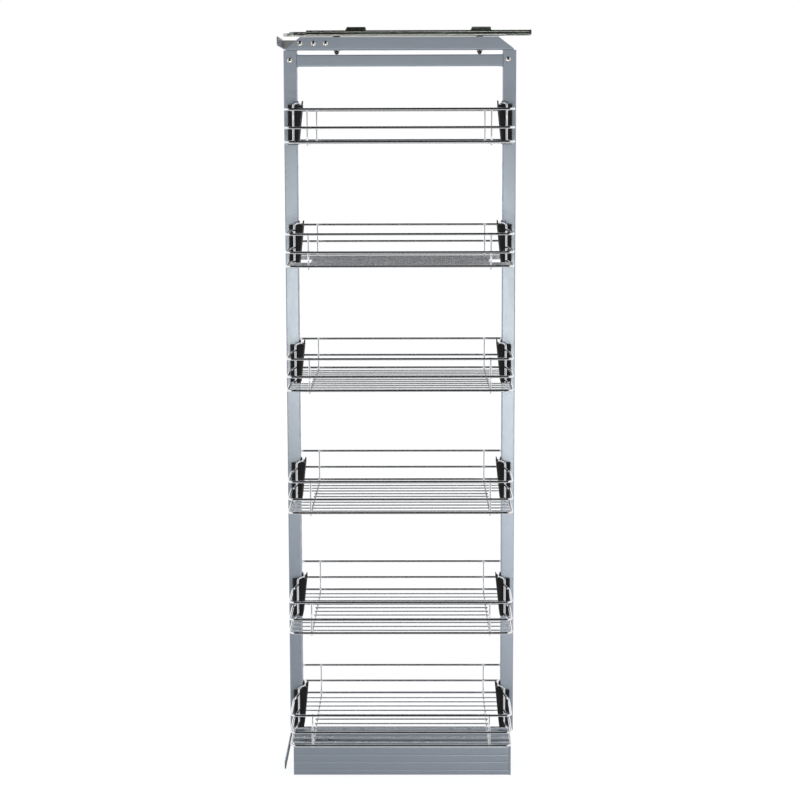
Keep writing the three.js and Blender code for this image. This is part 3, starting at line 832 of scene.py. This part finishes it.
b = Build()
prism(b, [(-CH_Y, 0), (CH_Y, 0), (CH_Y, CH_H), (21, CH_H), (21, 57), (-21, 57), (-21, CH_H), (-CH_Y, CH_H)], "x", CH_X[1] + GAP, CH_X[1] + GAP + 3.7)
place("floor_channel_back_plate", bevelled(b.mesh("end_plate", [PAINT]), 0.9, 3), "cabinet_side", "painted_steel", ["floor_channel_end_plate"])


# ------------------------------------------------------------------ runners in the floor channel
def runner(b, w_mid, f_mid, z0, z1, t, x0, x1, curl=0.0, r=1.1):
    """C-section standing on edge; w_mid is its web's middle line in Y, f_mid the flange tips"""
    d = 1 if f_mid > w_mid else -1
    path = [(f_mid, z0 + t / 2 + curl), (f_mid, z0 + t / 2)] if curl else [(f_mid, z0 + t / 2)]
    path += [(w_mid, z0 + t / 2), (w_mid, (z0 + z1) / 2 - 9), (w_mid + d * 0.8, (z0 + z1) / 2 - 6),
             (w_mid + d * 0.8, (z0 + z1) / 2 + 6), (w_mid, (z0 + z1) / 2 + 9), (w_mid, z1 - t / 2)]
    path += [(f_mid, z1 - t / 2), (f_mid, z1 - t / 2 - curl)] if curl else [(f_mid, z1 - t / 2)]
    sheet(b, path, t, r, "x", [x0, x1], 4)


for side, s in (("right", -1), ("left", 1)):
    b = Build()
    runner(b, s * 60.0, s * 50.6, 10.0, 55.0, 1.3, *RUN_X, curl=0.9)
    place(f"floor_runner_outer_{side}", b.mesh("runner_outer", [ZINC_L], 30), "cabinet_side", "zinc_steel", [f"runner_outer_{side}"])
    b = Build()
    runner(b, s * 57.0, s * 50.9, 13.2, 51.8, 1.2, *RUN_X)
    place(f"floor_runner_middle_{side}", b.mesh("runner_middle", [ZINC_L], 30), "bottom_runner_middles", "zinc_steel", [f"runner_middle_{side}"])
    b = Build()
    runner(b, s * 46.0, s * 54.4, 16.7, 48.3, 1.3, *RUN_X)
    place(f"floor_runner_inner_{side}", b.mesh("runner_inner", [ZINC_L], 30), "frame", "zinc_steel", [f"runner_inner_{side}"])
    # ball cages between the members: they travel with the middle member
    b = Build()
    for zz, zr in ((11.35 + 0.75, 1), (55.0 - 1.35 - 0.75, -1)):
        for k in range(26):
            x = -205.0 + 16.0 * k
            ball(b, (x, s * 54.0, zz), 0.72, 8, 6, mat=1)
    for zz in (15.0, 50.0):
        block(b, (-214.0, 206.0), sorted((s * 52.0, s * 55.8)), (zz - 0.2, zz + 0.2))
    place(f"floor_runner_cage_{side}", b.mesh("cage", [CAGE, BALL]), "bottom_runner_middles", "zinc_steel")

b = Build()
sheet(b, [(-44.0, 8.0), (-44.0, 57.0), (44.0, 57.0), (44.0, 8.0)], 2.0, 2.6, "x", [RUN_X[0], 0.0, RUN_X[1]], 5)


def holes(c):
    for x in ACCESS_X:
        disc(c, (x, 0), "z", 3.3, 54, 60)


place("carriage_plate", boolean(b.mesh("carriage", [ZINC_L], 35), cutter(holes), 35), "frame", "zinc_steel", ["carriage"])


def socket_bolt(x):
    b = Build()
    revolve(b, [(0, 46), (2.4, 46), (2.9, 46.6), (2.9, 58.5), (5.2, 58.5), (5.2, 61.9), (4.6, 63.2), (3.4, 63.4), (0, 63.4)], (x, 0, 0), n=28)
    me = b.mesh("carriage_bolt", [SCREW], 35)

    def hexagon(c):
        o = [(x + 2.3 * math.cos(math.radians(60 * i)), 2.3 * math.sin(math.radians(60 * i))) for i in range(6)]
        prism(c, o, "z", 60.6, 65)
    return boolean(me, cutter(hexagon), 35)


for i, x in enumerate(ACCESS_X):
    place(f"socket_bolt_{i + 1}", socket_bolt(x), "frame", "plated_fastener", [f"carriage_bolt_{i + 1}"])


# ------------------------------------------------------------------ top slide
z0, z1 = TS_Z


def flat_member(half, web, tip, t, x0, x1, curl, name, body, node, mat, taper=None, holes_at=(), hole_r=2.6, slots_at=()):
    """flat C-section: half its outer half width, web the web's middle line, tip the height where its walls end"""
    w = half - t / 2
    d = 1 if tip > web else -1
    end = tip - d * t / 2 if curl else tip
    mid, tall = (web + end) / 2, abs(web - end)
    # from the left wall's tip to its web, with a shallow ball track pressed inwards
    wall = ([(-w + curl, end)] if curl else []) + [(-w, end), (-w, mid + d * 0.20 * tall), (-w + 0.45, mid + d * 0.08 * tall),
            (-w + 0.45, mid - d * 0.08 * tall), (-w, mid - d * 0.20 * tall), (-w, web), (-w + 6, web), (-w + 7.5, web + d * 0.5)]
    path = wall + [(-x, zz) for x, zz in wall[::-1]]
    b = Build()
    if taper:
        # the end narrows to a rounded tongue
        xs = [x0 + q for q in (0, 3, 7, 12)]
        sc = [0.45, 0.72, 0.92, 1.0]

        def st(x, k):
            return lambda p: V(x, p.x * k, p.y)
        stations = [st(x, k) for x, k in zip(xs, sc)] + [x1]
    else:
        stations = [x0, (x0 + x1) / 2, x1]
    sheet(b, path, t, 0.8, "x", stations, 4)
    me = b.mesh(name, [mat], 30)
    if holes_at or slots_at:
        def cutout(c):
            for x in holes_at:
                disc(c, (x, 0), "z", hole_r, web - 4, web + 4)
            for x in slots_at:
                prism(c, [(q, r) for r, q in stadium(0, x, 5.0, 14.0)], "z", web - 4, web + 4)
        me = boolean(me, cutter(cutout), 30)
    return place(name, me, body, "zinc_steel", [node])


flat_member(22.5, z1 - 0.7, z0 + 1.3, 1.4, *TS_OUT_X, 1.1, "top_slide_fixed_rail", "cabinet_side", "top_slide_outer", ZINC, holes_at=CLIP_X, slots_at=(-180, -40, 40, 110, 240))
flat_member(18.9, z1 - 3.55, z0 + 1.7, 1.3, *TS_MID_X, 0, "top_slide_middle_rail", "top_runner_middle", "top_slide_middle", ZINC, taper=True, slots_at=(-215, 215))
flat_member(15.9, z0 + 0.7, z0 + 5.8, 1.4, *TS_IN_X, 0, "top_slide_moving_rail", "frame", "top_slide_inner", ZINC_L, taper=True, holes_at=BOLT_X, hole_r=3.4, slots_at=(-200, -60, 60, 200))

b = Build()
for s in (-1, 1):
    for k in range(24):
        ball(b, (-212.0 + 18.0 * k, s * 20.0, z0 + 5.2), 1.0, 8, 6, mat=1)
    block(b, (-222.0, 212.0), sorted((s * 19.4, s * 20.5)), (z0 + 2.2, z0 + 3.1))
place("top_slide_cage", b.mesh("top_cage", [CAGE, BALL]), "top_runner_middle", "zinc_steel")

b = Build()
loft(b, [[V(x, yy, zz) for yy, zz in rrect(-23 + e, 23 - e, z0 + 0.9 + e, z1 + 0.5 - e, 2.0, 4)]
         for x, e in ((TS_OUT_X[1] + 0.3, 0), (TS_OUT_X[1] + 2.6, 0), (TS_OUT_X[1] + 3.6, 0.5), (TS_OUT_X[1] + 4.0, 1.3))])
place("top_slide_stop", b.mesh("end_cap", [ZINC], 35), "cabinet_side", "zinc_steel", ["top_slide_end_cap"])


def clip_mesh(x):
    low, high = z1 + GAP, 1611.8
    b = Build()
    prism(b, [(x - 22, low), (x + 22, low), (x + 20.5, high), (x - 18.5, high)], "y", -11, 11)
    me = bevelled(b.mesh("clip", [ZINC]), 0.8, 3, 30)

    def holes(c):
        disc(c, (x, 0), "z", 2.4, low - 1, high + 1)
        revolve(c, [(0, high - 2.4), (2.4, high - 2.4), (4.8, high), (4.8, high + 2), (0, high + 2)], (x, 0, 0), n=28)
        for s in (-1, 1):
            # two recesses in each long side leave ribs standing
            for u in (-12.0, 0.0, 12.0):
                block(c, (x + u - 3.6, x + u + 3.6), sorted((s * 9.6, s * 12)), (low + 1.6, high - 1.8))
    return boolean(me, cutter(holes), 32)


for i, x in enumerate(CLIP_X):
    nm = ("front", "rear")[i]
    place(f"cabinet_clip_{nm}", clip_mesh(x), "cabinet_side", "zinc_steel", [f"top_clip_{nm}"])


# ------------------------------------------------------------------ fasteners
def pan_head(x, z, face, shank):
    """pan head screw in the -Y face, with a cross recess and a washer face"""
    b = Build()
    f = face
    prof = [(0, shank), (1.6, shank - 0.1), (2.1, shank - 0.8), (2.1, -GAP), (5.3, -GAP), (5.75, -GAP - 0.25), (5.75, -GAP - 0.8),
            (5.4, -GAP - 1.6), (4.6, -GAP - 2.45), (3.3, -GAP - 3.05), (1.7, -GAP - 3.27), (0, -GAP - 3.3)]
    revolve(b, [(r, hgt) for r, hgt in prof], (x, f, z), (0, 1, 0), n=32)
    me = b.mesh("pan_head_screw", [SCREW], 32)

    for a in (20, 110):
        me = boolean(me, cutter(lambda c: one_slot(c, x, z, f, a)), 32)
    return me


def one_slot(c, x, z, f, a):
    ca, sa = math.cos(math.radians(a)), math.sin(math.radians(a))
    secs = []
    for s, k in ((-GAP - 3.9, 1.0), (-GAP - 1.0, 0.5)):
        u, v = 3.4 * k, 0.75
        secs.append([V(x + p * ca - q * sa, f + s, z + p * sa + q * ca) for p, q in ((-u, -v), (u, -v), (u, v), (-u, v))])
    loft(c, secs)


for i, x in enumerate(SCREW_TOP_X):
    place(f"pan_head_top_{i + 1}", pan_head(x, SCREW_TOP_Z, -BEAM_D / 2, 6), "frame", "plated_fastener", [f"top_bracket_screw_{i + 1}"])
for i, x in enumerate(SCREW_BOT_X):
    place(f"pan_head_bottom_{i + 1}", pan_head(x, SCREW_BOT_Z, -BEAM_D / 2, 6), "frame", "plated_fastener", [f"bottom_bracket_screw_{i + 1}"])
for i, (x, z) in enumerate(POST_SCREW):
    place(f"pan_head_post_{i + 1}", pan_head(x, z, -POST_D / 2, 8), "frame", "plated_fastener", [("front_post_screw", "rear_post_screw")[i]])

for i, x in enumerate(BOLT_X):
    nm = ("front", "rear")[i]
    w = TOP_Z[0] - GAP
    b = Build()
    revolve(b, [(3.6, TOP_Z[0] + BEAM_T + GAP), (7.1, TOP_Z[0] + BEAM_T + GAP), (7.5, TOP_Z[0] + BEAM_T + 0.9), (7.5, TS_Z[0] - 1.0),
                (7.1, TS_Z[0] - GAP), (3.6, TS_Z[0] - GAP)], (x, 0, 0), n=32)
    place(f"spacer_bush_{nm}", b.mesh("spacer", [PLASTIC], 35), "frame", "black_plastic", [f"slide_spacer_{nm}"])
    b = Build()
    # bolt with its head in the slide
    revolve(b, [(0, w - 1), (3.0, w - 1), (3.0, TS_Z[0] + 1.7), (5.4, TS_Z[0] + 1.7), (5.3, TS_Z[0] + 2.6), (4.4, TS_Z[0] + 3.5), (0, TS_Z[0] + 3.9)], (x, 0, 0), n=28)
    # washer
    revolve(b, [(3.1, w), (6.8, w), (7.0, w - 0.2), (7.0, w - 1.1), (6.8, w - 1.3), (3.1, w - 1.3)], (x, 0, 0), n=32)
    # dome nut: six-sided base under a round cap, in the near-black NUT material (painted dark reflection)
    hexo = [(x + 5.35 * math.cos(math.radians(60 * q + 10)), 5.35 * math.sin(math.radians(60 * q + 10))) for q in range(6)]
    prism(b, hexo, "z", w - 4.4, w - 1.3, 1)
    revolve(b, [(0, w - 8.7), (1.6, w - 8.45), (2.9, w - 7.8), (3.9, w - 6.8), (4.5, w - 5.6), (4.65, w - 4.4), (0, w - 4.3)], (x, 0, 0), n=28, mat=1)
    place(f"slide_bolt_and_nut_{nm}", b.mesh("slide_bolt", [SCREW, NUT], 30), "frame", "plated_fastener", [f"slide_bolt_{nm}"])


# ------------------------------------------------------------------ door brackets
def door_bracket(zr, screws, screw_z):
    z_lo, z_hi = zr
    y_in = -BEAM_D / 2 + BEAM_T + GAP
    x0, x1 = DOOR_X
    b = Build()
    prism(b, rrect(-DOOR_Y, DOOR_Y, z_lo, z_hi, 2.5, 4), "x", x0, x1)
    me = bevelled(b.mesh("door_flange", [ZINC_B]), 0.35, 2, 35)

    def slots(c):
        for s in (-1, 1):
            for yy in (90, 170):
                o = [(q, r) for r, q in stadium((z_lo + z_hi) / 2, s * yy, 5.4, 12.0)]
                prism(c, o, "x", x0 - 1, x1 + 1)
    me = boolean(me, cutter(slots), 35)
    leg = Build()
    xe = screws[2] + 11
    prism(leg, [(x1 - 0.6, z_lo), (xe - 3, z_lo), (xe, z_lo + 3), (xe, z_hi - 3), (xe - 3, z_hi), (x1 - 0.6, z_hi)], "y", y_in, y_in + 2)
    leg_me = bevelled(leg.mesh("door_leg", [ZINC_B]), 0.35, 2, 35)

    def holes(c):
        for x in screws:
            disc(c, (x, screw_z), "y", 2.5, y_in - 1, y_in + 3)
    leg_me = boolean(leg_me, cutter(holes), 35)
    weld = Build()
    for q in range(9):
        ball(weld, (x1 + 0.4, y_in + 2.2, z_lo + 1.4 + q * (z_hi - z_lo - 2.8) / 8), 1.3, 8, 6, (1.0, 1.0, 1.1))
    weld_me = weld.mesh("weld", [ZINC_B])
    bm = bmesh.new()
    for m in (me, leg_me, weld_me):
        bm.from_mesh(m)
    out = bpy.data.meshes.new("door_bracket")
    bm.to_mesh(out)
    bm.free()
    out.materials.append(ZINC_B)
    finish_mesh(out, 35, False)
    return out


place("door_bracket_plate_top", door_bracket(DOOR_Z["top"], SCREW_TOP_X, SCREW_TOP_Z), "frame", "zinc_steel", ["door_bracket_top"])
place("door_bracket_plate_bottom", door_bracket(DOOR_Z["bottom"], SCREW_BOT_X, SCREW_BOT_Z), "frame", "zinc_steel", ["door_bracket_bottom"])


# ------------------------------------------------------------------ studio
floor_mat = bpy.data.materials.new("studio_floor")
floor_mat.use_nodes = True
nt = floor_mat.node_tree
nt.nodes.clear()
out = nt.nodes.new("ShaderNodeOutputMaterial")
add = nt.nodes.new("ShaderNodeAddShader")
dif = nt.nodes.new("ShaderNodeBsdfDiffuse")
dif.inputs["Color"].default_value = (0.32, 0.32, 0.32, 1)
emi = nt.nodes.new("ShaderNodeEmission")
emi.inputs["Color"].default_value = (1, 1, 1, 1)
emi.inputs["Strength"].default_value = 0.86
nt.links.new(dif.outputs[0], add.inputs[0])
nt.links.new(emi.outputs[0], add.inputs[1])
nt.links.new(add.outputs[0], out.inputs["Surface"])
fm = bpy.data.meshes.new("floor")
S = 60.0
fm.from_pydata([(-S, -S, -0.0004), (S, -S, -0.0004), (S, S, -0.0004), (-S, S, -0.0004)], [], [[0, 1, 2, 3]])
fm.materials.append(floor_mat)
floor = bpy.data.objects.new("studio_floor", fm)
scene.collection.objects.link(floor)
floor.visible_glossy = False

world = bpy.data.worlds.new("studio")
scene.world = world
world.use_nodes = True
nt = world.node_tree
nt.nodes.clear()
wout = nt.nodes.new("ShaderNodeOutputWorld")
co = nt.nodes.new("ShaderNodeTexCoord")
sep = nt.nodes.new("ShaderNodeSeparateXYZ")
nt.links.new(co.outputs["Generated"], sep.inputs[0])


def math_node(op, a, bb=None):
    n = nt.nodes.new("ShaderNodeMath")
    n.operation = op
    for i, v in enumerate((a, bb)):
        if v is None:
            continue
        if hasattr(v, "links"):
            nt.links.new(v, n.inputs[i])
        else:
            n.inputs[i].default_value = v
    return n.outputs[0]


def smooth(v, a, bb, lo=0.0, hi=1.0):
    n = nt.nodes.new("ShaderNodeMapRange")
    n.interpolation_type = "SMOOTHSTEP"
    n.inputs["From Min"].default_value = a
    n.inputs["From Max"].default_value = bb
    n.inputs["To Min"].default_value = lo
    n.inputs["To Max"].default_value = hi
    nt.links.new(v, n.inputs["Value"])
    return n.outputs["Result"]


# reflections: dark room on the camera side and above, a bright backdrop and a pale floor below
in_band = math_node("SUBTRACT", 1.0, smooth(math_node("ABSOLUTE", sep.outputs["X"]), 0.36, 0.62))
not_back = math_node("SUBTRACT", 1.0, smooth(sep.outputs["Y"], 0.60, 0.88))
not_low = smooth(sep.outputs["Z"], -0.95, -0.80)
low_strip = math_node("MULTIPLY", smooth(sep.outputs["Z"], -0.105, -0.085), smooth(sep.outputs["Z"], -0.035, -0.05))
dark = math_node("MULTIPLY", math_node("MULTIPLY", math_node("MULTIPLY", in_band, not_back), not_low), math_node("SUBTRACT", 1.0, low_strip))
ROOM, KNEE, BRIGHT, FILL = 0.010, 0.06, 1.05, 0.47
room = smooth(sep.outputs["Z"], -0.30, -0.15, KNEE, ROOM)
level = math_node("ADD", math_node("MULTIPLY", dark, room), math_node("MULTIPLY", math_node("SUBTRACT", 1.0, dark), BRIGHT))
bg = nt.nodes.new("ShaderNodeBackground")
bg.inputs["Color"].default_value = (1, 1, 1, 1)
nt.links.new(level, bg.inputs["Strength"])
# soft fill light for diffuse surfaces, and a white backdrop
fill = nt.nodes.new("ShaderNodeBackground")
fill.inputs["Color"].default_value = (0.95, 1.0, 1.06, 1)
fill.inputs["Strength"].default_value = FILL
white = nt.nodes.new("ShaderNodeBackground")
white.inputs["Color"].default_value = (1, 1, 1, 1)
white.inputs["Strength"].default_value = 1.01
lp = nt.nodes.new("ShaderNodeLightPath")
md = nt.nodes.new("ShaderNodeMixShader")
nt.links.new(lp.outputs["Is Diffuse Ray"], md.inputs[0])
nt.links.new(bg.outputs[0], md.inputs[1])
nt.links.new(fill.outputs[0], md.inputs[2])
mx = nt.nodes.new("ShaderNodeMixShader")
nt.links.new(lp.outputs["Is Camera Ray"], mx.inputs[0])
nt.links.new(md.outputs[0], mx.inputs[1])
nt.links.new(white.outputs[0], mx.inputs[2])
nt.links.new(mx.outputs[0], wout.inputs["Surface"])


def area(name, loc, target, sx, sy, watts, color=(1, 1, 1), spread=180):
    d = bpy.data.lights.new(name, "AREA")
    d.shape = "RECTANGLE"
    d.size, d.size_y = sx, sy
    d.energy = watts
    d.spread = math.radians(spread)
    d.color = color
    o = bpy.data.objects.new(name, d)
    scene.collection.objects.link(o)
    o.location = loc
    o.rotation_euler = (Vector(target) - Vector(loc)).to_track_quat("-Z", "Y").to_euler()
    o.visible_camera = False
    return o


def lights_only(light, name, mats, but=()):
    c = bpy.data.collections.new(name)
    for o in scene.objects:
        if o.type == "MESH" and any(m in mats for m in o.data.materials) and not any(k in o.name for k in but):
            c.objects.link(o)
    light.light_linking.receiver_collection = c


SHEETS = (PAINT, ZINC, ZINC_L, ZINC_B, SCREW)
HIGH = ("top_beam_channel", "cross_rail_tube")
lights_only(area("low_softbox", (-0.04, -2.6, 0.78), (0.0, 0.0, 0.95), 1.1, 0.42, 17, (1.0, 0.97, 0.86)), "lit_by_low_softbox", SHEETS)
lights_only(area("right_softbox", (0.42, -2.6, 0.40), (0.1, 0.0, 0.65), 0.5, 0.22, 2.4, (1.0, 0.97, 0.86)), "lit_by_right_softbox", SHEETS, HIGH)
lights_only(area("side_softbox", (0.62, -1.5, 0.25), (0.22, 0.0, 0.2), 0.5, 0.7, 1.4, (1.0, 0.98, 0.95), 90), "lit_by_side_softbox", SHEETS, HIGH)

scene.view_settings.view_transform = "Standard"
scene.view_settings.look = "None"
scene.view_settings.exposure = 0.0
scene.view_settings.gamma = 1.0
